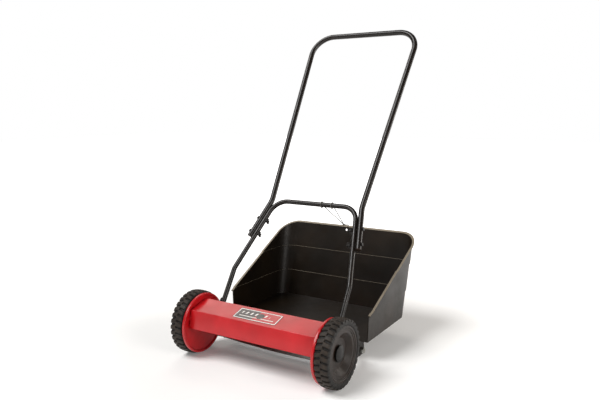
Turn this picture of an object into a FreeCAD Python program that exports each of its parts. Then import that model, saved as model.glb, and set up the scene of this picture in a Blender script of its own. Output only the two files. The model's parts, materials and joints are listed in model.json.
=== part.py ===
import FreeCAD, Part
import math
import os

# Push reel mower with a rear grass catcher. Millimetres. The ground is z = 0, the front faces -Y and
# the model is laid out about the wheel axle, which lies along X at y = 0. Places are (y, z) pairs: how
# far behind and above the axle they lie. Saving a piece moves it so that the origin is on the ground
# below the middle of the whole machine.

Vec = FreeCAD.Vector

# ---- Wheels -------------------------------------------------------------------------------------
OVERALL_WIDTH = 560.0        # over the outer faces of the two wheels
WHEEL_DIAMETER = 200.0
WHEEL_WIDTH = 44.0
TREAD_DEPTH = 5.0
LUGS_PER_ROW = 32
GROOVE_WIDTH = 6.5
TYRE_THICKNESS = 20.0        # from the seat on the wheel to the top of the lugs
RIM_THICKNESS = 6.0
WEB_THICKNESS = 3.5
WEB_INSET = 21.0             # from the wheel's inner face to the web
HUB_RADIUS = 18.0
CAP_RADIUS = 24.0
CAP_HEIGHT = 11.0
DISH_RADIUS = (60.0, 44.0)   # the wheel's outer face slopes in between these radii
CAP_WALL = 1.8
BUSH_WALL = 2.2
SPINDLE_RADIUS = 8.0

# ---- Wheel gearing ------------------------------------------------------------------------------
GEAR_MODULE = 2.5
RING_TEETH = 44
PINION_TEETH = 12
ADDENDUM = 0.8               # tooth height above and below the pitch line, in modules
DEDENDUM = 1.1
PRESSURE_ANGLE = math.radians(20.0)
BACKLASH = 0.3
PINION_WIDTH = 12.0
RING_WALL = 5.0
PAWL_RADIUS = 8.6
PAWL_DEPTH = 5.0
PAWL_THICKNESS = 3.0
REEL_DROP = 5.0              # the reel's shaft lies this far below the wheel axle

# ---- Side plates --------------------------------------------------------------------------------
PLATE_RADIUS = 95.0
PLATE_WEB = 2.0
PLATE_RIM = 8.0              # radial thickness of the rolled rim
RIM_INBOARD = 4.0            # the rim and the bosses stand this far inboard of the web
RIM_OUTBOARD = 3.5
WHEEL_GAP = 1.5              # from the rim to the wheel

# ---- Reel and bed knife -------------------------------------------------------------------------
REEL_RADIUS = 50.0
BLADE_COUNT = 5
BLADE_DEPTH = 14.0
BLADE_THICKNESS = 3.0
BLADE_TWIST = 64.0           # degrees from one end of the reel to the other
BLADE_SECTIONS = 9
REEL_END_GAP = 19.0          # from a blade's end to the side plate's boss level
SPIDER_THICKNESS = 4.0
SHAFT_RADIUS = 7.0
JOURNAL_RADIUS = 6.0
BEARING_SPIGOT = 12.0
KNIFE_GAP = 0.35
KNIFE_ANGLE = math.radians(13.0)   # the cutting edge sits this far behind the reel's lowest line
KNIFE_WIDTH = 25.0
KNIFE_THICKNESS = 2.8
BAR_THICKNESS = 3.0
BAR_HEIGHT = 17.0
BAR_THREAD = 3.0
KNIFE_THREAD = 2.5

# ---- Cover over the reel ------------------------------------------------------------------------
SHEET = 1.5
COVER_FOLDS = ((-62.0, 3.0), (-71.0, 4.0), (-60.0, 59.0), (10.0, 78.0), (13.0, 68.0))
COVER_FLANGE = 14.0
COVER_THREAD = 2.5
LABEL_LENGTH = 152.0
LABEL_WIDTH = 50.0
LABEL_THICKNESS = 0.6

# ---- Handle -------------------------------------------------------------------------------------
OVERALL_HEIGHT = 1050.0
HANDLE_REACH = 687.0         # the top bar lies this far behind the wheel axle
UPPER_TUBE = 19.0
LOWER_TUBE = 16.0
TUBE_WALL = 1.2
UPPER_CORNER_X = 212.0       # where the centre lines of top bar and leg meet
TOP_BEND_RADIUS = 75.0
CROSSBAR_CORNER_X = 155.0    # where the centre lines of crossbar and lower leg meet
CROSSBAR_PLACE = (317.0, 357.0)
CROSSBAR_BEND_RADIUS = 60.0
LEG_BEND_PLACE = (150.0, 146.0)        # the lower leg turns down to the side plate here
HANDLE_PIVOT_PLACE = (71.0, 20.0)
PIVOT_PAD = 5.0
PAD_PROUD = 0.3              # the flattened pad stands this far outboard of the tube
PAD_LENGTH = 34.0
PAD_HALF_WIDTH = 10.0
PAD_GAP = 0.5                # from the flattened pad to the side plate's boss
PAD_TAIL = 12.0
STOP_PIN_RADIUS = 3.0
HANDLE_THREAD = 3.0
PIVOT_THREAD = 4.0
BOLT_STATIONS = (82.0, 135.0)          # along the lower leg from the crossbar's corner
TAIL_LENGTH = 152.0

# ---- Rear bracket, roller and catcher rod -------------------------------------------------------
BRACKET = 4.0
ARM_THICKNESS = 4.0
ARM_PIVOT_PLACE = (112.0, -28.0)
ARM_CLAMP_PLACE = (108.0, 0.0)
ARM_HALF_WIDTH = 10.0
ARM_BOLT = 4.0
CLAMP_THREAD = 3.0
ARM_DROP = 11.0              # degrees that the arm's slot lets the roller go down and up
ARM_RISE = 3.0
BRACKET_BOLT_PLACES = ((68.0, -22.0), (82.0, -12.0))
BRACKET_THREAD = 3.0
ROLLER_Y = 230.0
ROLLER_RADIUS = 21.0
ROLLER_AXLE_RADIUS = 6.0
ROD_PLACE = (150.0, -16.0)
ROD_RADIUS = 4.0

# ---- Grass catcher ------------------------------------------------------------------------------
CATCHER_WALL = 2.5
CATCHER_FRONT_Y = 193.0
CATCHER_DROP = 35.0          # the floor lies this far below the axle
CATCHER_LIP_RISE = 50.0      # top of the side wall at the front, above the axle
CATCHER_TOP_RISE = 238.0     # top of the rear wall, above the axle
CATCHER_SIDE_GAP = 18.0      # at each side, narrower than the machine at the floor and at the rim
CATCHER_RIM_GAP = 8.0
CATCHER_REAR = (500.0, 566.0)          # rear wall's y at the floor and at the rim
CATCHER_CORNER = (45.0, 60.0)          # radius of its rear corners at the floor and at the rim
LIP_GAP = 11.0               # from the catcher's lip to the roller arms
CATCHER_STEPS = 2
STEP_DEPTH = 2.0
RIM_WIDTH = 5.0
RIM_HEIGHT = 3.0
HANG_HOLE_RADIUS = 4.0
HANG_HOLE_DROP = 12.0

# ---- Bail wire between crossbar and catcher -----------------------------------------------------
WIRE_RADIUS = 1.4
BAIL_EYES_X = (26.0, 65.0)
HOOK_X = -9.0
HOOK_REACH = 4.5
HOOK_DEPTH = 7.0
BAIL_SHANK = 30.0            # from the meeting point of the wires to the rim
SLEEVE_RADIUS = 3.0
SLEEVE_LENGTH = 12.0

# ---- Clearances ---------------------------------------------------------------------------------
SEAT = 0.02                  # radial, pieces pressed or bolted together
RUNNING = 0.06               # radial, a shaft in its bearing
FREE = 0.4                   # between pieces that move past each other

# ---- Places that follow from the sizes above ----------------------------------------------------
WHEEL_RADIUS = WHEEL_DIAMETER / 2
AXLE_Z = WHEEL_RADIUS


def from_axle(place):
    return place[0], AXLE_Z + place[1]


AXLE = from_axle((0.0, 0.0))
COVER_PROFILE = [from_axle(place) for place in COVER_FOLDS]
BRACKET_BOLTS = [from_axle(place) for place in BRACKET_BOLT_PLACES]
LEG_BEND = from_axle(LEG_BEND_PLACE)
HANDLE_PIVOT = from_axle(HANDLE_PIVOT_PLACE)
ARM_PIVOT = from_axle(ARM_PIVOT_PLACE)
ARM_CLAMP = from_axle(ARM_CLAMP_PLACE)
ROD_CENTRE = from_axle(ROD_PLACE)
ROLLER_CENTRE = (ROLLER_Y, ROLLER_RADIUS)
CROSSBAR = Vec(CROSSBAR_CORNER_X, *from_axle(CROSSBAR_PLACE))
CATCHER_FLOOR_Z = AXLE_Z - CATCHER_DROP
CATCHER_LIP_Z = AXLE_Z + CATCHER_LIP_RISE
CATCHER_TOP_Z = AXLE_Z + CATCHER_TOP_RISE
CATCHER_BOTTOM = (OVERALL_WIDTH / 2 - CATCHER_SIDE_GAP, CATCHER_REAR[0], CATCHER_CORNER[0])
CATCHER_TOP = (OVERALL_WIDTH / 2 - CATCHER_RIM_GAP, CATCHER_REAR[1], CATCHER_CORNER[1])
WHEEL_OUT = OVERALL_WIDTH / 2
WHEEL_IN = WHEEL_OUT - WHEEL_WIDTH
RIM_OUT = WHEEL_IN - WHEEL_GAP
WEB_OUT = RIM_OUT - RIM_OUTBOARD
WEB_IN = WEB_OUT - PLATE_WEB
SEAT_X = WEB_IN - RIM_INBOARD          # inboard level of the side plate's rim and bosses
ARM_OUT = SEAT_X - BRACKET - FREE
ARM_IN = ARM_OUT - ARM_THICKNESS
CENTRE_DISTANCE = GEAR_MODULE * (RING_TEETH - PINION_TEETH) / 2
REEL_Y = math.sqrt(CENTRE_DISTANCE ** 2 - REEL_DROP ** 2)
REEL_Z = AXLE_Z - REEL_DROP
REEL_CENTRE = (REEL_Y, REEL_Z)
MESH_ANGLE = math.atan2(REEL_Z - AXLE_Z, REEL_Y)
REEL_HALF = SEAT_X - REEL_END_GAP
KNIFE_Y = REEL_Y + (REEL_RADIUS + KNIFE_GAP) * math.sin(KNIFE_ANGLE)
KNIFE_TOP = REEL_Z - (REEL_RADIUS + KNIFE_GAP) * math.cos(KNIFE_ANGLE)
TOP_BAR_Z = OVERALL_HEIGHT - UPPER_TUBE / 2
MIDDLE_Y = (HANDLE_REACH + UPPER_TUBE / 2 - WHEEL_RADIUS) / 2
PAD_OUT = SEAT_X - PAD_GAP
LEG_X = PAD_OUT - PAD_PROUD - LOWER_TUBE / 2
BAR_TOP = KNIFE_TOP - KNIFE_THICKNESS
BAR_PIVOT = (KNIFE_Y + 15.0, BAR_TOP + 8.0)
BAR_REAR = KNIFE_Y + KNIFE_WIDTH + 4.0
KNIFE_SCREW_Y = KNIFE_Y + 13.0
ADJUSTER_X = SEAT_X - 11.0
ADJUSTER_Y = KNIFE_Y + 20.5
EAR_Z = BAR_TOP + 21.0
EAR_HALF_WIDTH = 8.0
SPINDLE_END = WHEEL_IN + WEB_INSET + 9.0


def save(node, shape):
    """Write one piece, moved so that the origin is below the middle of the machine."""
    placed = shape.copy()
    placed.translate(Vec(0, -MIDDLE_Y, 0))
    placed.exportStep("parts/" + node + ".step")


def mirrored(shape):
    """The same piece on the left side."""
    return shape.mirror(Vec(0, 0, 0), Vec(1, 0, 0))


def save_pair(node, shape):
    save(node + "_right", shape)
    save(node + "_left", mirrored(shape))


def both_sides(shapes):
    """One group that holds each piece and its mirror image."""
    return Part.makeCompound(list(shapes) + [mirrored(shape) for shape in shapes])


def disc(radius, x0, x1, centre=AXLE):
    """A cylinder along X about a point given as (y, z)."""
    return Part.makeCylinder(radius, x1 - x0, Vec(x0, centre[0], centre[1]), Vec(1, 0, 0))


def ring(outer, inner, x0, x1, centre=AXLE):
    return disc(outer, x0, x1, centre).cut(disc(inner, x0 - 1, x1 + 1, centre))


def prism(outline, x0, x1):
    """A plate across X from an outline of (y, z) points."""
    corners = [Vec(x0, y, z) for y, z in outline]
    face = Part.Face(Part.makePolygon(corners + corners[:1]))
    return face.extrude(Vec(x1 - x0, 0, 0))


def strap(start, end, half_width, x0, x1):
    """A plate across X with round ends about two (y, z) points."""
    length = math.dist(start, end)
    side = (half_width * (start[1] - end[1]) / length, half_width * (end[0] - start[0]) / length)
    outline = [
        (start[0] + side[0], start[1] + side[1]),
        (start[0] - side[0], start[1] - side[1]),
        (end[0] - side[0], end[1] - side[1]),
        (end[0] + side[0], end[1] + side[1]),
    ]
    ends = [disc(half_width, x0, x1, point) for point in (start, end)]
    return prism(outline, x0, x1).multiFuse(ends).removeSplitter()


def turned(profile):
    """A solid turned about the wheel axle from a closed profile of (x, radius) points."""
    corners = [Vec(x, 0, AXLE_Z + radius) for x, radius in profile]
    face = Part.Face(Part.makePolygon(corners + corners[:1]))
    return face.revolve(Vec(0, 0, AXLE_Z), Vec(1, 0, 0), 360)


def aimed(shape, origin, direction):
    """Turn a piece that was built along +Z so that it points along a direction, and place it."""
    result = shape.copy()
    turn = FreeCAD.Rotation(Vec(0, 0, 1), direction)
    result.Placement = FreeCAD.Placement(origin, turn).multiply(result.Placement)
    return result


def hexagon(across_flats, height, base=0.0):
    radius = across_flats / math.sqrt(3)
    corners = [
        Vec(radius * math.cos(math.radians(60 * i)), radius * math.sin(math.radians(60 * i)), base)
        for i in range(7)
    ]
    return Part.Face(Part.makePolygon(corners)).extrude(Vec(0, 0, height))


def hex_nut(thread_radius, origin, direction):
    nut = hexagon(3.4 * thread_radius, 1.6 * thread_radius)
    bore = Part.makeCylinder(thread_radius + SEAT, 4 * thread_radius, Vec(0, 0, -thread_radius))
    return aimed(nut.cut(bore), origin, direction)


def button_screw(thread_radius, length, origin, direction):
    """A screw whose head stands on the origin's plane and whose shank runs backwards."""
    head = Part.makeCylinder(1.7 * thread_radius, 1.1 * thread_radius)
    head = head.makeFillet(0.5 * thread_radius, [head.Edges[0]])
    shank = Part.makeCylinder(thread_radius, length, Vec(0, 0, -length))
    socket = hexagon(1.1 * thread_radius, 2 * thread_radius, 0.5 * thread_radius)
    return aimed(head.fuse(shank).cut(socket).removeSplitter(), origin, direction)


def hexagon_radius(thread_radius):
    """From the middle to a corner of a bolt's head or of a nut."""
    return 3.4 * thread_radius / math.sqrt(3)


def hex_bolt(thread_radius, length, origin, direction):
    head = hexagon(3.4 * thread_radius, 1.3 * thread_radius)
    shank = Part.makeCylinder(thread_radius, length, Vec(0, 0, -length))
    return aimed(head.fuse(shank).removeSplitter(), origin, direction)


def wing_nut(thread_radius, origin, direction):
    body = Part.makeCone(2.1 * thread_radius, 1.7 * thread_radius, 2 * thread_radius)
    width = 3.0 * thread_radius
    for side in (-1, 1):
        wing = Part.makeBox(width, 2.0, 3.2 * thread_radius, Vec(0, -1.0, 0.4 * thread_radius))
        wing = wing.makeFillet(2.5, [edge for edge in wing.Edges if is_along(edge, Vec(0, 1, 0))])
        wing.rotate(Vec(0, 0, 0), Vec(0, 1, 0), -18)
        wing.translate(Vec(1.2 * thread_radius, 0, 0))
        if side < 0:
            wing = wing.mirror(Vec(0, 0, 0), Vec(1, 0, 0))
        body = body.fuse(wing)
    bore = Part.makeCylinder(thread_radius + SEAT, 8 * thread_radius, Vec(0, 0, -thread_radius))
    return aimed(body.cut(bore), origin, direction)


def is_along(edge, direction):
    if not isinstance(edge.Curve, Part.Line):
        return False
    return abs(abs(edge.Curve.Direction.dot(direction)) - 1) < 1e-6


def rounded_path(points, radii):
    """Straight runs joined by tangent arcs. radii holds one bend radius for each inner point."""
    edges = []
    start = points[0]
    for before, corner, after, radius in zip(points, points[1:], points[2:], radii):
        towards = (before - corner).normalize()
        away = (after - corner).normalize()
        half_turn = (math.pi - towards.getAngle(away)) / 2
        cut_back = radius * math.tan(half_turn)
        first = corner + towards * cut_back
        last = corner + away * cut_back
        inward = (towards + away).normalize()
        middle = corner + inward * (radius / math.cos(half_turn) - radius)
        edges.append(Part.LineSegment(start, first).toShape())
        edges.append(Part.Arc(first, middle, last).toShape())
        start = last
    edges.append(Part.LineSegment(start, points[-1]).toShape())
    return Part.Wire(edges)


def round_bar(points, radii, radius):
    path = rounded_path(points, radii)
    circle = Part.Circle(points[0], points[1] - points[0], radius).toShape()
    return path.makePipeShell([Part.Wire(circle)], True, False)


def bent_tube(points, radii, diameter):
    """An open-ended round tube along a path with rounded bends."""
    outer = round_bar(points, radii, diameter / 2)
    return outer.cut(round_bar(points, radii, diameter / 2 - TUBE_WALL))


def offset_points(points, distance):
    """Move a polyline of (y, z) points to its right by a distance, with mitred corners."""
    normals = []
    for start, end in zip(points, points[1:]):
        length = math.dist(start, end)
        normals.append(((end[1] - start[1]) / length, (start[0] - end[0]) / length))
    joined = [normals[0]] + normals
    moved = []
    for point, before, after in zip(points, joined, normals + [normals[-1]]):
        share = distance / (1 + before[0] * after[0] + before[1] * after[1])
        moved.append((point[0] + (before[0] + after[0]) * share, point[1] + (before[1] + after[1]) * share))
    return moved


def bent_sheet(points, thickness, x0, x1):
    return prism(list(points) + offset_points(points, thickness)[::-1], x0, x1)


# ---- Gear teeth ---------------------------------------------------------------------------------

def involute(angle):
    return math.tan(angle) - angle


def tooth_half_angle(teeth, radius, thickening):
    """Half the angle that a tooth fills at a radius. thickening is added at the pitch circle."""
    pitch_radius = GEAR_MODULE * teeth / 2
    base_radius = pitch_radius * math.cos(PRESSURE_ANGLE)
    flank = math.acos(min(1.0, base_radius / radius))
    at_pitch = math.pi / (2 * teeth) + thickening / (2 * pitch_radius)
    return at_pitch + involute(PRESSURE_ANGLE) - involute(flank)


def toothed_outline(teeth, inner, outer, thickening, centre, phase):
    """A closed gear outline whose teeth reach from the inner to the outer radius."""
    radii = [inner + (outer - inner) * i / 4 for i in range(5)]
    outline = []
    for tooth in range(teeth):
        middle = phase + 2 * math.pi * tooth / teeth
        rising = [(radius, middle - tooth_half_angle(teeth, radius, thickening)) for radius in radii]
        falling = [(radius, middle + tooth_half_angle(teeth, radius, thickening)) for radius in radii]
        for radius, angle in rising + falling[::-1]:
            outline.append((centre[0] + radius * math.cos(angle), centre[1] + radius * math.sin(angle)))
    return outline


def ring_gear_bore(x0, x1):
    """The toothed hollow of the internal gear, with a space on the line to the reel's shaft."""
    pitch_radius = GEAR_MODULE * RING_TEETH / 2
    inner = pitch_radius - ADDENDUM * GEAR_MODULE
    outer = pitch_radius + DEDENDUM * GEAR_MODULE
    return prism(toothed_outline(RING_TEETH, inner, outer, BACKLASH / 2, AXLE, MESH_ANGLE), x0, x1)


def pinion():
    pitch_radius = GEAR_MODULE * PINION_TEETH / 2
    inner = pitch_radius - DEDENDUM * GEAR_MODULE
    outer = pitch_radius + ADDENDUM * GEAR_MODULE
    x0 = WHEEL_IN + 2.5
    x1 = x0 + PINION_WIDTH
    outline = toothed_outline(PINION_TEETH, inner, outer, -BACKLASH / 2, REEL_CENTRE, MESH_ANGLE)
    body = prism(outline, x0, x1).cut(disc(JOURNAL_RADIUS + SEAT, x0 - 1, x1 + 1, REEL_CENTRE))
    ratchet = disc(PAWL_RADIUS + FREE, x0 - 1, x0 + PAWL_DEPTH + FREE, REEL_CENTRE)
    for step in range(3):
        angle = math.radians(60 * step) + MESH_ANGLE
        notch = Part.makeBox(PAWL_DEPTH + FREE + 1, 2 * PAWL_RADIUS + 2.6, PAWL_THICKNESS + 1)
        notch.translate(Vec(x0 - 1, REEL_Y - PAWL_RADIUS - 1.3, REEL_Z - PAWL_THICKNESS / 2 - 0.5))
        notch.rotate(Vec(0, REEL_Y, REEL_Z), Vec(1, 0, 0), math.degrees(angle))
        ratchet = ratchet.fuse(notch)
    return body.cut(ratchet)


def drive_pawl(clearance=0.0):
    """The sliding key that lets the wheel drive the reel forwards. It lies across the shaft."""
    x0 = WHEEL_IN + 2.5
    key = Part.makeBox(PAWL_DEPTH + clearance, 2 * PAWL_RADIUS, PAWL_THICKNESS + 2 * clearance)
    key.translate(Vec(x0, REEL_Y - PAWL_RADIUS, REEL_Z - PAWL_THICKNESS / 2 - clearance))
    key.rotate(Vec(0, REEL_Y, REEL_Z), Vec(1, 0, 0), math.degrees(MESH_ANGLE))
    return key


# ---- Wheels -------------------------------------------------------------------------------------

def tyre():
    """A tyre with two rows of blocky lugs. The rows are staggered by half a pitch."""
    seat = WHEEL_RADIUS - TYRE_THICKNESS
    body = ring(WHEEL_RADIUS, seat, WHEEL_IN, WHEEL_OUT)
    middle = WHEEL_IN + WHEEL_WIDTH / 2
    grooves = []
    for row, (x0, x1) in enumerate(((WHEEL_IN - 1, middle - 1), (middle + 1, WHEEL_OUT + 1))):
        for lug in range(LUGS_PER_ROW):
            groove = Part.makeBox(x1 - x0, GROOVE_WIDTH, 2 * TREAD_DEPTH)
            groove.translate(Vec(x0, -GROOVE_WIDTH / 2, AXLE_Z + WHEEL_RADIUS - TREAD_DEPTH))
            turn = 360.0 / LUGS_PER_ROW * (lug + row / 2 + 0.5)
            groove.rotate(Vec(0, 0, AXLE_Z), Vec(1, 0, 0), turn)
            grooves.append(groove)
    return body.cut(grooves)


def wheel():
    """The moulded wheel: rim, web, hub, raised rings on the face and the ring gear inside."""
    rim_top = WHEEL_RADIUS - TYRE_THICKNESS
    rim_bottom = rim_top - RIM_THICKNESS
    web_in = WHEEL_IN + WEB_INSET
    web_out = web_in + WEB_THICKNESS
    bore = SPINDLE_RADIUS + BUSH_WALL + SEAT
    drum = GEAR_MODULE * RING_TEETH / 2 + DEDENDUM * GEAR_MODULE + RING_WALL
    inner = WHEEL_IN + 2
    pocket = WHEEL_OUT - 9
    profile = [
        (inner, bore), (inner, HUB_RADIUS), (web_in, HUB_RADIUS), (web_in, drum - 2),
        (inner, drum - 2), (inner, drum), (pocket, drum), (pocket, rim_bottom),
        (inner, rim_bottom), (inner, rim_top), (WHEEL_OUT - 2, rim_top), (WHEEL_OUT - 2, rim_bottom + 1),
        (WHEEL_OUT - 4, rim_bottom - 1), (WHEEL_OUT - 4, rim_bottom - 5), (WHEEL_OUT - 5.5, rim_bottom - 6),
        (WHEEL_OUT - 5.5, DISH_RADIUS[0]), (web_out, DISH_RADIUS[1]), (web_out, bore),
    ]
    gear_end = inner + PINION_WIDTH + 3
    teeth = disc(drum - 1, inner, gear_end).cut(ring_gear_bore(inner - 1, gear_end + 1))
    return turned(profile).fuse(teeth)


def hub_cap():
    """A snap-on cap with a low dome over the end of the spindle."""
    base = WHEEL_IN + WEB_INSET + WEB_THICKNESS
    top = base + CAP_HEIGHT
    shoulder = top - 4.5

    def dome(radius, apex, edge):
        rise = apex - edge
        curve = (radius ** 2 + rise ** 2) / (2 * rise)
        half_angle = math.asin(radius / curve) / 2
        rim = Vec(edge, 0, AXLE_Z + radius)
        middle = Vec(apex - curve * (1 - math.cos(half_angle)), 0, AXLE_Z + curve * math.sin(half_angle))
        profile = [
            Part.LineSegment(Vec(base, 0, AXLE_Z), Vec(base, 0, AXLE_Z + radius)).toShape(),
            Part.LineSegment(Vec(base, 0, AXLE_Z + radius), rim).toShape(),
            Part.Arc(rim, middle, Vec(apex, 0, AXLE_Z)).toShape(),
            Part.LineSegment(Vec(apex, 0, AXLE_Z), Vec(base, 0, AXLE_Z)).toShape(),
        ]
        return Part.Face(Part.Wire(profile)).revolve(Vec(0, 0, AXLE_Z), Vec(1, 0, 0), 360)

    return dome(CAP_RADIUS, top, shoulder).cut(dome(CAP_RADIUS - CAP_WALL, top - CAP_WALL, shoulder - 1))


def wheel_bush():
    end = WHEEL_IN + WEB_INSET + WEB_THICKNESS + 0.5
    return ring(SPINDLE_RADIUS + BUSH_WALL, SPINDLE_RADIUS + RUNNING, WEB_OUT + 3 + FREE, end)


def stub_axle():
    """A spindle riveted through the side plate, with a groove for the clip that keeps the wheel."""
    flange = disc(20.0, WEB_OUT, WEB_OUT + 3)
    spindle = disc(SPINDLE_RADIUS, WEB_OUT, SPINDLE_END)
    rivet = disc(10.0, SEAT_X, WEB_OUT)
    groove = ring(SPINDLE_RADIUS + 1, SPINDLE_RADIUS - 1.2, *clip_span())
    return rivet.multiFuse([flange, spindle]).cut(groove).removeSplitter()


def clip_span():
    start = WHEEL_IN + WEB_INSET + WEB_THICKNESS + 2.6
    return start, start + 1.2


def axle_washer():
    start = WHEEL_IN + WEB_INSET + WEB_THICKNESS + 0.5 + FREE
    return ring(14.0, SPINDLE_RADIUS + SEAT, start, start + 1.5)


def axle_clip():
    x0, x1 = clip_span()
    opening = Part.makeBox(x1 - x0 + 2, 9.0, 20.0, Vec(x0 - 1, -4.5, AXLE_Z))
    return ring(SPINDLE_RADIUS + 3, SPINDLE_RADIUS - 1.2 + SEAT, x0, x1).cut(opening)


# ---- Side plates --------------------------------------------------------------------------------

def cover_screw_places():
    """Screw places along the cover's end flange, half way across it, as (y, z)."""
    middle = offset_points(COVER_PROFILE, COVER_FLANGE * 0.6)
    places = []
    for segment, share in ((1, 0.5), (2, 0.25), (2, 0.8)):
        start, end = middle[segment], middle[segment + 1]
        places.append(tuple(a + (b - a) * share for a, b in zip(start, end)))
    return places


def side_plate():
    """A dished round plate with a rolled rim, raised bosses and a hole for everything it carries."""
    plate = disc(PLATE_RADIUS, WEB_IN, WEB_OUT)
    rim = ring(PLATE_RADIUS, PLATE_RADIUS - PLATE_RIM, SEAT_X, RIM_OUT)
    round_edges = [edge for edge in rim.Edges if isinstance(edge.Curve, Part.Circle)]
    rim = rim.makeFillet(PLATE_RIM / 2 - 1, round_edges)
    seats = [(place, 8.0) for place in cover_screw_places() + list(BRACKET_BOLTS)]
    seats += [(BAR_PIVOT, 8.0), (HANDLE_PIVOT, 12.0), (AXLE, 24.0), (REEL_CENTRE, 19.0)]
    bosses = [disc(radius, SEAT_X, WEB_IN, place) for place, radius in seats]
    whole = disc(PLATE_RADIUS - PLATE_RIM / 2, SEAT_X - 1, RIM_OUT + 1)
    bosses = [boss.common(whole) for boss in bosses]
    holes = [(place, COVER_THREAD) for place in cover_screw_places()]
    holes += [(place, BRACKET_THREAD) for place in BRACKET_BOLTS]
    holes += [(BAR_PIVOT, BAR_THREAD), (HANDLE_PIVOT, PIVOT_THREAD), (stop_pin_place(), 3.0)]
    holes += [(AXLE, 10.0), (REEL_CENTRE, BEARING_SPIGOT)]
    cuts = [disc(radius + SEAT, SEAT_X - 1, RIM_OUT + 1, place) for place, radius in holes]
    for place, thread in [(BAR_PIVOT, BAR_THREAD)] + [(place, BRACKET_THREAD) for place in BRACKET_BOLTS]:
        cuts.append(disc(hexagon_radius(thread) + FREE, WEB_OUT, RIM_OUT + 1, place))
    return plate.multiFuse([rim] + bosses).cut(cuts).removeSplitter()


def reel_bearing():
    """A flanged plain bearing whose spigot fills the hole in the side plate."""
    flange = disc(17.0, SEAT_X - 5, SEAT_X, REEL_CENTRE)
    nose = disc(13.0, SEAT_X - 11, SEAT_X - 5, REEL_CENTRE)
    spigot = disc(BEARING_SPIGOT, SEAT_X, WEB_OUT + 1, REEL_CENTRE)
    bore = disc(JOURNAL_RADIUS + RUNNING, SEAT_X - 20, RIM_OUT + 5, REEL_CENTRE)
    return flange.multiFuse([nose, spigot]).cut(bore).removeSplitter()


# ---- Reel ---------------------------------------------------------------------------------------

def reel_shaft():
    """The shaft steps down to its journals, and a slot at each end holds the drive pawl."""
    shoulder = SEAT_X - 12
    end = WHEEL_IN + 2.5 + PINION_WIDTH + 1
    body = disc(SHAFT_RADIUS, -shoulder, shoulder, REEL_CENTRE)
    journal = disc(JOURNAL_RADIUS, shoulder, end, REEL_CENTRE)
    slot = drive_pawl(clearance=0.1)
    return body.multiFuse([journal, mirrored(journal)]).cut([slot, mirrored(slot)]).removeSplitter()


def twist_at(x):
    return BLADE_TWIST * x / (2 * REEL_HALF)


def reel_blade(index):
    """A steel strip on edge that winds about the shaft from one end of the reel to the other."""
    sections = []
    for step in range(BLADE_SECTIONS):
        x = -REEL_HALF + 2 * REEL_HALF * step / (BLADE_SECTIONS - 1)
        outline = [
            Vec(x, REEL_Y + side * BLADE_THICKNESS / 2, REEL_Z + radius)
            for side, radius in ((-1, REEL_RADIUS - BLADE_DEPTH), (1, REEL_RADIUS - BLADE_DEPTH),
                                 (1, REEL_RADIUS), (-1, REEL_RADIUS))
        ]
        section = Part.makePolygon(outline + outline[:1])
        section.rotate(Vec(0, REEL_Y, REEL_Z), Vec(1, 0, 0), twist_at(x) + 360.0 / BLADE_COUNT * index)
        sections.append(section)
    return Part.makeLoft(sections, True, False)


def spider_places():
    outer = REEL_HALF - 3 - SPIDER_THICKNESS
    return [-outer, -outer / 3, outer / 3, outer]


def reel_spider(x):
    """A pressed star: one arm reaches to the inner edge of each blade."""
    hub = disc(SHAFT_RADIUS + 8, x - SPIDER_THICKNESS / 2, x + SPIDER_THICKNESS / 2, REEL_CENTRE)
    collar = disc(SHAFT_RADIUS + 4, x - 6, x + 6, REEL_CENTRE)
    arms = []
    for index in range(BLADE_COUNT):
        reach = REEL_RADIUS - BLADE_DEPTH - 0.05
        arm = Part.makeBox(SPIDER_THICKNESS, 11.0, reach - SHAFT_RADIUS - 2)
        arm.translate(Vec(x - SPIDER_THICKNESS / 2, REEL_Y - 5.5, REEL_Z + SHAFT_RADIUS + 2))
        turn = twist_at(x) + 360.0 / BLADE_COUNT * index
        arm.rotate(Vec(0, REEL_Y, REEL_Z), Vec(1, 0, 0), turn)
        arms.append(arm)
    bore = disc(SHAFT_RADIUS + SEAT, x - 10, x + 10, REEL_CENTRE)
    return hub.multiFuse([collar] + arms).cut(bore).removeSplitter()


# ---- Bed bar and knife --------------------------------------------------------------------------

def knife_screw_places():
    half = SEAT_X - 30
    return [-half + half * step / 2 for step in range(5)]


def bed_bar():
    """An angle bar below the knife with an upright tab at each end."""
    bottom = BAR_TOP - BAR_THICKNESS
    half = SEAT_X - BAR_THICKNESS
    flat = prism([(KNIFE_Y + 4, bottom), (BAR_REAR, bottom), (BAR_REAR, BAR_TOP), (KNIFE_Y + 4, BAR_TOP)],
                 -half, half)
    back = BAR_REAR - BAR_THICKNESS
    top = bottom + BAR_HEIGHT
    upright = prism([(back, bottom), (BAR_REAR, bottom), (BAR_REAR, top), (back, top)], -half, half)
    tab = prism([(KNIFE_Y + 6, bottom), (BAR_REAR, bottom), (BAR_REAR, top), (KNIFE_Y + 6, top)],
                half, SEAT_X)
    tab = tab.cut(disc(BAR_THREAD + SEAT, half - 1, SEAT_X + 1, BAR_PIVOT))
    holes = [Part.makeCylinder(KNIFE_THREAD + SEAT, 20, Vec(x, KNIFE_SCREW_Y, bottom - 8))
             for x in knife_screw_places()]
    return flat.multiFuse([upright, tab, mirrored(tab)]).cut(holes).removeSplitter()


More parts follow.
